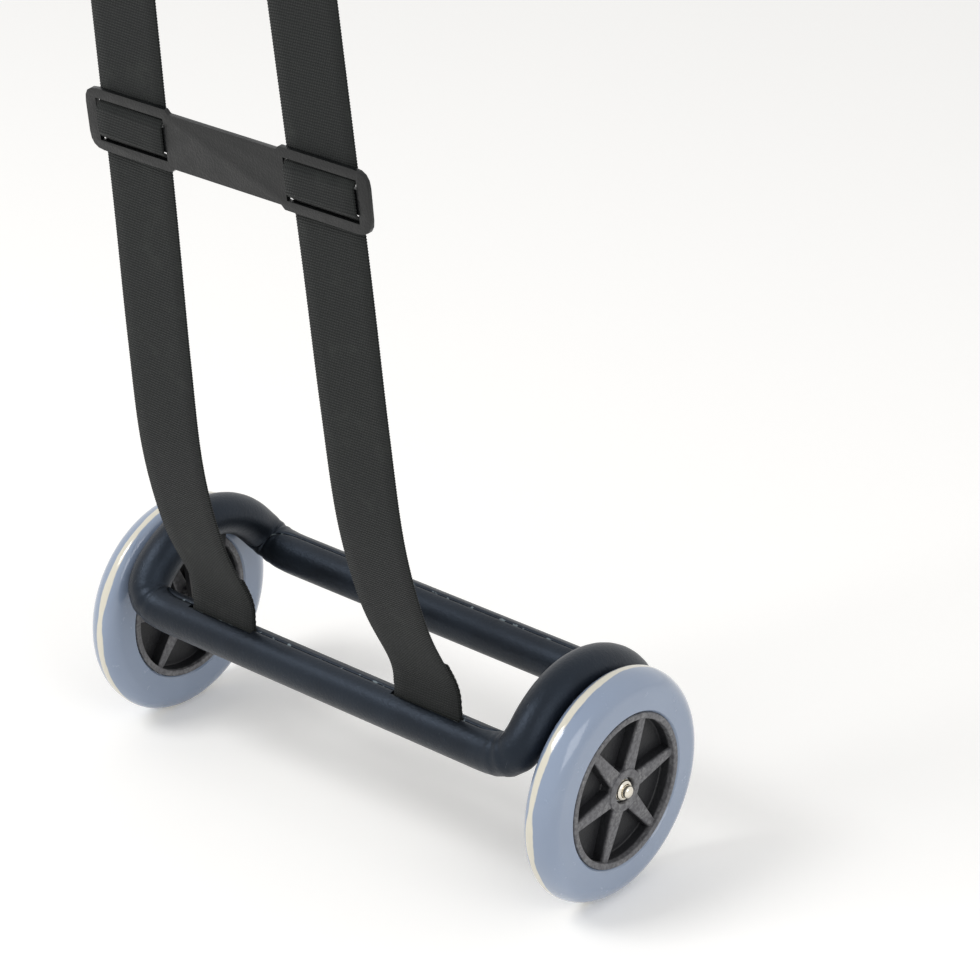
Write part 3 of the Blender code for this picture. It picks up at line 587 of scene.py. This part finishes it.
def metal(name, colour, roughness, streak=0.0008, along=20.0):
    """Bare metal with fine turning or drawing marks that run along X."""
    made, tree, shader = new_material(name, Metallic=1.0, Roughness=roughness)
    stretched = add_node(tree, "ShaderNodeMapping", {"Scale": (1 / along, 1, 1)},
                         {"Vector": object_place(tree)}).outputs["Vector"]
    marks = noise(tree, stretched, size=streak, detail=2.0)
    shader.inputs["Base Color"].default_value = linear(colour)
    rough = stepped(tree, marks, low=0.2, high=0.8, to_low=roughness * 0.75, to_high=roughness * 1.3)
    tree.links.new(rough, shader.inputs["Roughness"])
    bump(tree, shader, marks, distance=0.00005, strength=0.3)
    return made


def coated(name, colour, dark, roughness, size):
    """Paint or plain moulded plastic with a faint orange-peel skin."""
    made, tree, shader = new_material(name, Roughness=roughness)
    peel = noise(tree, object_place(tree), size=size, detail=2.0)
    tree.links.new(mixed(tree, peel, dark, colour), shader.inputs["Base Color"])
    bump(tree, shader, peel, distance=0.0001, strength=0.4)
    return made


# Pieces

def dress(piece, made_of, slot, body, *nodes):
    piece.data.materials.clear()
    piece.data.materials.append(made_of)
    if nodes:
        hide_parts(*nodes)
    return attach(piece, body)


def only(piece):
    bpy.ops.object.select_all(action="DESELECT")
    piece.select_set(True)
    bpy.context.view_layer.objects.active = piece


def from_mesh(name, points, edges, faces):
    mesh = bpy.data.meshes.new(name)
    mesh.from_pydata(points, edges, faces)
    piece = bpy.data.objects.new(name, mesh)
    bpy.context.scene.collection.objects.link(piece)
    only(piece)
    return piece


def tidy_surface(crease=32):
    """Join doubled points, turn all faces outwards and shade smooth up to a crease in degrees."""
    bpy.ops.object.mode_set(mode="EDIT")
    bpy.ops.mesh.select_all(action="SELECT")
    bpy.ops.mesh.remove_doubles(threshold=0.000001)
    bpy.ops.mesh.normals_make_consistent(inside=False)
    bpy.ops.object.mode_set(mode="OBJECT")
    bpy.ops.object.shade_smooth_by_angle(angle=radians(crease))


def spun(name, outline, closed=True):
    """Spin an outline of (x, radius) once round the axle."""
    points = [(x, 0, AXLE_HEIGHT + r) for x, r in outline]
    edges = [(i, i + 1) for i in range(len(points) - 1)]
    if closed:
        edges.append((len(points) - 1, 0))
    piece = from_mesh(name, points, edges, [])
    bpy.ops.object.mode_set(mode="EDIT")
    bpy.ops.mesh.select_all(action="SELECT")
    bpy.ops.mesh.spin(steps=ROUND, angle=2 * pi, center=(0, 0, AXLE_HEIGHT), axis=(1, 0, 0))
    bpy.ops.object.mode_set(mode="OBJECT")
    tidy_surface()
    return piece


def eased(outline, radius, steps=4):
    """A closed outline with every corner rounded off by about this radius."""
    soft = []
    most = 0.45
    for i, corner in enumerate(outline):
        corner = Vector(corner)
        before = Vector(outline[i - 1]) - corner
        after = Vector(outline[(i + 1) % len(outline)]) - corner
        reach = min(radius, before.length * most, after.length * most)
        start = corner + before.normalized() * reach
        end = corner + after.normalized() * reach
        for k in range(steps + 1):
            t = k / steps
            soft.append(start * (1 - t) ** 2 + corner * 2 * t * (1 - t) + end * t ** 2)
    return soft


def at_side(outline, side):
    """The outline, measured from the crown of the tread, moved to one wheel."""
    return [(side * (HALF_TRACK + x), r) for x, r in outline]


def make_tyre(word, side, made_of):
    """Flat side walls and a rounded tread, with a soft edge at the rim."""
    bore = TYRE_BORE + GAP
    shoulder = WHEEL_RADIUS - TYRE_SHOULDER
    outline = [(TYRE_OUTER_SIDE - TYRE_EASING, bore), (-TYRE_INNER_SIDE + TYRE_EASING, bore),
               (-TYRE_INNER_SIDE, bore + TYRE_EASING)]
    steps = 14
    for k in range(steps + 1):
        a = pi / 2 * k / steps
        outline.append((-TYRE_INNER_SIDE * cos(a), shoulder + TYRE_SHOULDER * sin(a)))
    for k in range(steps - 1, -1, -1):
        a = pi / 2 * k / steps
        outline.append((TYRE_OUTER_SIDE * cos(a), shoulder + TYRE_SHOULDER * sin(a)))
    outline.append((TYRE_OUTER_SIDE, bore + TYRE_EASING))
    tyre = spun("tyre_tread_" + word, at_side(outline, side))
    return dress(tyre, made_of, "grey_polyurethane", "wheel_" + word, "tyre_" + word)


def make_spoke(side, angle):
    """A tapered bar from the boss into the rim, its long edges rounded."""
    bpy.ops.object.select_all(action="DESELECT")
    bpy.ops.mesh.primitive_cube_add(size=2)
    spoke = bpy.context.object
    start = BOSS_RADIUS * SPOKE_ROOT
    end = TYRE_BORE - HUB_RIM_WALL / 2
    low = -TYRE_INNER_SIDE + SPOKE_SINK
    high = TYRE_OUTER_SIDE - SPOKE_SINK
    for vertex in spoke.data.vertices:
        across, out, depth = vertex.co
        reach = end if out > 0 else start
        width = SPOKE_AT_RIM if out > 0 else SPOKE_AT_BOSS
        offset = across * width / 2
        x = high if depth > 0 else low
        vertex.co = (side * (HALF_TRACK + x), reach * cos(angle) - offset * sin(angle),
                     AXLE_HEIGHT + reach * sin(angle) + offset * cos(angle))
    bevel = spoke.modifiers.new("rounding", "BEVEL")
    bevel.width = SPOKE_ROUNDING
    bevel.segments = 4
    bpy.ops.object.modifier_apply(modifier=bevel.name)
    tidy_surface(crease=40)
    return spoke


def make_hub(word, side, made_of):
    """Rim and boss with a recess, a web between them, and six spokes."""
    inner = -TYRE_INNER_SIDE
    web = (inner + TYRE_OUTER_SIDE) / 2
    low = web - HUB_WEB / 2
    high = web + HUB_WEB / 2
    rim = TYRE_BORE - HUB_RIM_WALL
    bush = AXLE_RADIUS + BUSH_IN_HUB
    boss_out = TYRE_OUTER_SIDE - HUB_LIP
    outline = [(inner, TYRE_BORE), (TYRE_OUTER_SIDE, TYRE_BORE), (TYRE_OUTER_SIDE, rim), (high, rim),
               (high, BOSS_RADIUS), (boss_out, BOSS_RADIUS), (boss_out, RECESS_RADIUS),
               (boss_out - RECESS_DEPTH, RECESS_RADIUS), (boss_out - RECESS_DEPTH, bush),
               (-BOSS_INNER_SIDE, bush), (-BOSS_INNER_SIDE, BOSS_RADIUS), (low, BOSS_RADIUS),
               (low, rim), (inner, rim)]
    hub = spun("hub_moulding_" + word, at_side(eased(outline, HUB_EASING), side))
    first = pi / 2 - side * SPOKE_TURN
    spokes = [make_spoke(side, first + 2 * pi * k / SPOKE_COUNT) for k in range(SPOKE_COUNT)]
    only(hub)
    for spoke in spokes:
        spoke.select_set(True)
    bpy.ops.object.join()
    return dress(hub, made_of, "dark_plastic", "wheel_" + word, "hub_" + word)


def make_push_nut(word, side, made_of):
    """A domed spring cap pressed on the axle end."""
    low = abs(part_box("push_nut_" + word)[0 if side > 0 else 1].x) - HALF_TRACK
    high = low + PUSH_NUT_HEIGHT
    bore = AXLE_RADIUS + GAP
    rise = high - low - NUT_BRIM
    reach = PUSH_NUT_RADIUS - NUT_LIP - bore - NUT_LIP
    steps = 8
    outline = [(low, bore), (low, PUSH_NUT_RADIUS), (low + NUT_BRIM_EDGE, PUSH_NUT_RADIUS),
               (low + NUT_BRIM, PUSH_NUT_RADIUS - NUT_BRIM_BEVEL)]
    for k in range(steps + 1):
        a = pi / 2 * k / steps
        outline.append((low + NUT_BRIM + rise * sin(a), bore + NUT_LIP + reach * cos(a)))
    outline.append((high - NUT_LIP, bore))
    nut = spun("push_nut_cap_" + word, at_side(outline, side))
    return dress(nut, made_of, "bright_nickel", "frame", "push_nut_" + word)


def make_axle(made_of):
    """The axle rod, both ends rounded over."""
    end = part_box("axle_rod")[1].x
    steps = 8
    half = []
    for k in range(steps):
        a = pi / 2 * k / steps
        half.append((end - AXLE_TIP + AXLE_TIP * sin(a), AXLE_RADIUS * cos(a)))
    outline = [(-end, 0)] + [(-x, r) for x, r in half[::-1]] + half + [(end, 0)]
    rod = spun("axle_rod_polished", outline, closed=False)
    return dress(rod, made_of, "bright_nickel", "frame", "axle_rod")


def foam_ring(centre, frame_here, station, dent):
    """Outline of the slit foam, its lips rounded over at the seam, with the distance from the seam."""
    _, upper, side = frame_here
    _, seam, turn = station
    middle = -turn * pi / 2
    eye = TUBE_RADIUS + STRAP_PLAY + STRAP_THICKNESS
    bore = eye + GAP if seam == SEAM_AT_STRAP else TUBE_RADIUS + FOAM_PLAY
    ring = []
    for radius, backwards in ((FOAM_RADIUS, False), (bore, True)):
        half = asin(seam / 2 / radius)
        for k in range(FOAM_FACETS + 1):
            t = k / FOAM_FACETS
            t -= LIP_CROWDING * sin(2 * pi * t)
            angle = half + (2 * pi - 2 * half) * (1 - t if backwards else t)
            to_seam = min(angle - half, 2 * pi - half - angle) * radius
            drawn = radius
            if not backwards:
                drawn = radius - SEAM_LIP * max(0.0, 1 - to_seam / SEAM_LIP_REACH) ** 2 - dent
            a = middle + angle
            signed = to_seam if angle < pi else -to_seam
            ring.append((centre + upper * drawn * cos(a) + side * drawn * sin(a), signed))
    return ring


def make_foam(made_of):
    """Foam sleeve round the whole loop, nipped a little where it bends."""
    loop = whole_loop()
    frames = loop_frames(loop)
    rings = []
    run = 0.0
    for i, (station, frame_here) in enumerate(zip(loop, frames)):
        point = station[0]
        if i:
            run += (point - loop[i - 1][0]).length
        bend = smooth_step(1 - abs(station[2] - 0.5) * 2)
        dent = CREASE_DEPTH * bend * (1 + sin(run * CREASE_WAVES))
        rings.append((run, foam_ring(point, frame_here, station, dent)))
    count = len(rings[0][1])
    points = [tuple(point) for _, ring in rings for point, _ in ring]
    faces = []
    marks = []
    for i in range(len(rings)):
        j = (i + 1) % len(rings)
        for k in range(count):
            m = (k + 1) % count
            faces.append((i * count + k, i * count + m, j * count + m, j * count + k))
            for ring, corner in ((i, k), (i, m), (j, m), (j, k)):
                marks.append((rings[ring][0], rings[ring][1][corner][1]))
    foam = from_mesh("foam_sleeve_skin", points, [], faces)
    layer = foam.data.uv_layers.new(name="along_and_from_seam")
    for corner, mark in zip(layer.data, marks):
        corner.uv = mark
    tidy_surface(crease=50)
    dress(foam, made_of, "black_foam", "frame", "foam_sleeve")
    return foam


def strap_outline(width):
    """Cross-section of the webbing as (across, up): flat faces and rounded selvedges."""
    half = STRAP_THICKNESS / 2
    edge = width / 2 - half
    soft = width / 2 - SELVEDGE_EASING
    steps = 6
    upper = [(edge * (2 * k / steps - 1), half) for k in range(steps + 1)]
    lower = [(x, -half) for x, _ in upper[::-1]]
    right = [(soft, half * 0.5), (width / 2, 0), (soft, -half * 0.5)]
    left = [(-soft, -half * 0.5), (-width / 2, 0), (-soft, half * 0.5)]
    return upper + right + lower + left


def make_strap(made_of):
    """One piece of webbing, each rib standing out as a small tooth at both edges."""
    half = strap_path()
    path = [point for point, _ in half]
    sections = []
    run = 0.0
    previous = None
    for i, ((point, _), direction) in enumerate(zip(half, tangents(path))):
        across = X_AXIS if point.z < STRAIGHT_BELOW else direction.cross(outward(point, direction))
        if previous is not None and across.dot(previous) < 0:
            across = -across
        previous = across
        across = (across - direction * across.dot(direction)).normalized()
        up = across.cross(direction).normalized()
        if i:
            run += (point - path[i - 1]).length
        tooth = SELVEDGE_TOOTH * (1 if i % 2 else -1)
        width = STRAP_WIDTH - 2 * SELVEDGE_TOOTH + 2 * tooth
        section = [(point + across * x + up * h, x) for x, h in strap_outline(width)]
        sections.append((run, section))
    total = 2 * run
    others = [(total - at, [(Vector((-p.x, p.y, p.z)), x) for p, x in section])
              for at, section in sections[-2::-1]]
    sections += others
    count = len(sections[0][1])
    points = [tuple(p) for _, section in sections for p, _ in section]
    faces = [tuple(range(count)), tuple((len(sections) - 1) * count + k for k in range(count))]
    marks = [(0.0, 0.0)] * (2 * count)
    for i in range(len(sections) - 1):
        for k in range(count):
            m = (k + 1) % count
            faces.append((i * count + k, i * count + m, (i + 1) * count + m, (i + 1) * count + k))
            for row, corner in ((i, k), (i, m), (i + 1, m), (i + 1, k)):
                marks.append((sections[row][0], sections[row][1][corner][1]))
    strap = from_mesh("strap_webbing", points, [], faces)
    layer = strap.data.uv_layers.new(name="along_and_across")
    for corner, mark in zip(layer.data, marks):
        corner.uv = mark
    tidy_surface(crease=50)
    return dress(strap, made_of, "elastic_webbing", "frame", "elastic_strap")


def make_keeper(made_of):
    """The leather keeper with its edges burnished round."""
    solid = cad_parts["strap_keeper"]
    keeper = solid.copy()
    keeper.data = solid.data.copy()
    keeper.name = "strap_keeper_leather"
    keeper.parent = None
    bpy.context.scene.collection.objects.link(keeper)
    only(keeper)
    bpy.ops.object.mode_set(mode="EDIT")
    bpy.ops.mesh.select_all(action="SELECT")
    bpy.ops.mesh.remove_doubles(threshold=0.00001)
    bpy.ops.mesh.dissolve_limited(angle_limit=radians(3))
    bpy.ops.object.mode_set(mode="OBJECT")
    bevel = keeper.modifiers.new("burnished_edge", "BEVEL")
    bevel.width = KEEPER_EASING
    bevel.segments = 4
    bevel.limit_method = "ANGLE"
    bevel.angle_limit = radians(50)
    bpy.ops.object.modifier_apply(modifier=bevel.name)
    bpy.ops.object.shade_smooth_by_angle(angle=radians(30))
    return dress(keeper, made_of, "black_leather", "frame", "strap_keeper")


def dress_hidden_nodes(steel, nylon, plastic, paint):
    """The pieces whose solids already have the right shape."""
    finishes = {"frame_tube": steel, "tube_ferrule": steel, "washer": steel, "bush": nylon,
                "spacer": plastic, "axle_plate": paint}
    for name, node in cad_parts.items():
        for start, made_of in finishes.items():
            if name.startswith(start):
                for place in node.material_slots:
                    place.material = made_of


# The studio

def make_floor():
    """A white floor, lifted a little for the camera and in reflections, that keeps the shadow."""
    bpy.ops.object.select_all(action="DESELECT")
    bpy.ops.mesh.primitive_plane_add(size=30, location=(0, 0, 0))
    floor = bpy.context.object
    floor.name = "studio_floor"
    made, tree, shader = new_material("white_floor", Roughness=0.9)
    shader.inputs["Base Color"].default_value = linear("#fdfcfa")
    shader.inputs["Specular IOR Level"].default_value = 0.0
    rays = add_node(tree, "ShaderNodeLightPath").outputs
    seen = maths(tree, "MAXIMUM", rays["Is Camera Ray"], rays["Is Glossy Ray"])
    shader.inputs["Emission Color"].default_value = (1.0, 0.995, 0.985, 1.0)
    tree.links.new(maths(tree, "MULTIPLY", seen, FLOOR_LIFT), shader.inputs["Emission Strength"])
    floor.data.materials.append(made)


def make_world(strength):
    """White to the camera and in reflections, and softer as a light."""
    world = bpy.data.worlds.new("studio")
    bpy.context.scene.world = world
    world.use_nodes = True
    tree = world.node_tree
    rays = add_node(tree, "ShaderNodeLightPath").outputs
    seen = maths(tree, "MAXIMUM", maths(tree, "MAXIMUM", rays["Is Camera Ray"], rays["Is Glossy Ray"]),
                 rays["Is Transmission Ray"])
    level = stepped(tree, seen, low=0.0, high=1.0, to_low=strength, to_high=1.0)
    background = tree.nodes["Background"]
    background.inputs["Color"].default_value = (1, 1, 1, 1)
    tree.links.new(level, background.inputs["Strength"])


def make_lamp(name, place, size, power):
    """A square soft light, with its size in metres and its power in watts."""
    light = bpy.data.lights.new(name, "AREA")
    light.shape = "SQUARE"
    light.size = size
    light.energy = power
    lamp = bpy.data.objects.new(name, light)
    lamp.location = place
    lamp.rotation_euler = (Vector(LAMP_AIM) - Vector(place)).to_track_quat("-Z", "Y").to_euler()
    bpy.context.scene.collection.objects.link(lamp)


def make_camera():
    """Camera at the photograph's angle."""
    data = bpy.data.cameras.new("photo_camera")
    data.sensor_width = SENSOR_WIDTH
    data.lens = CAMERA_LENS
    camera = bpy.data.objects.new("photo_camera", data)
    place = Vector(CAMERA_PLACE)
    camera.location = place
    camera.rotation_euler = (Vector(CAMERA_TARGET) - place).to_track_quat("-Z", "Y").to_euler()
    bpy.context.scene.collection.objects.link(camera)
    bpy.context.scene.camera = camera


def main():
    make_camera()
    steel = metal("drawn_steel", "#a4a8ac", roughness=0.34)
    nickel = metal("bright_nickel_plate", "#e2dccf", roughness=0.14)
    nylon = coated("natural_nylon", "#dedbd1", "#cfcbc0", roughness=0.4, size=0.002)
    acetal = coated("black_acetal", "#242527", "#1a1b1d", roughness=0.42, size=0.002)
    paint = coated("black_powder_coat", "#202122", "#161718", roughness=0.38, size=0.0015)
    dress_hidden_nodes(steel, nylon, acetal, paint)
    tyre = cast_polyurethane()
    hub = moulded_polypropylene()
    for word, side in (("left", -1), ("right", 1)):
        make_tyre(word, side, tyre)
        make_hub(word, side, hub)
        make_push_nut(word, side, nickel)
    make_axle(nickel)
    make_foam(closed_cell_foam())
    make_strap(elastic_webbing())
    make_keeper(polished_leather())
    make_floor()
    make_world(SKY_LIGHT)
    make_lamp("key", place=(-0.9, -1.5, 2.3), size=1.0, power=30.0)
    make_lamp("right", place=(2.2, -0.6, 1.4), size=1.4, power=12.0)
    bpy.context.scene.view_settings.view_transform = "Standard"


main()
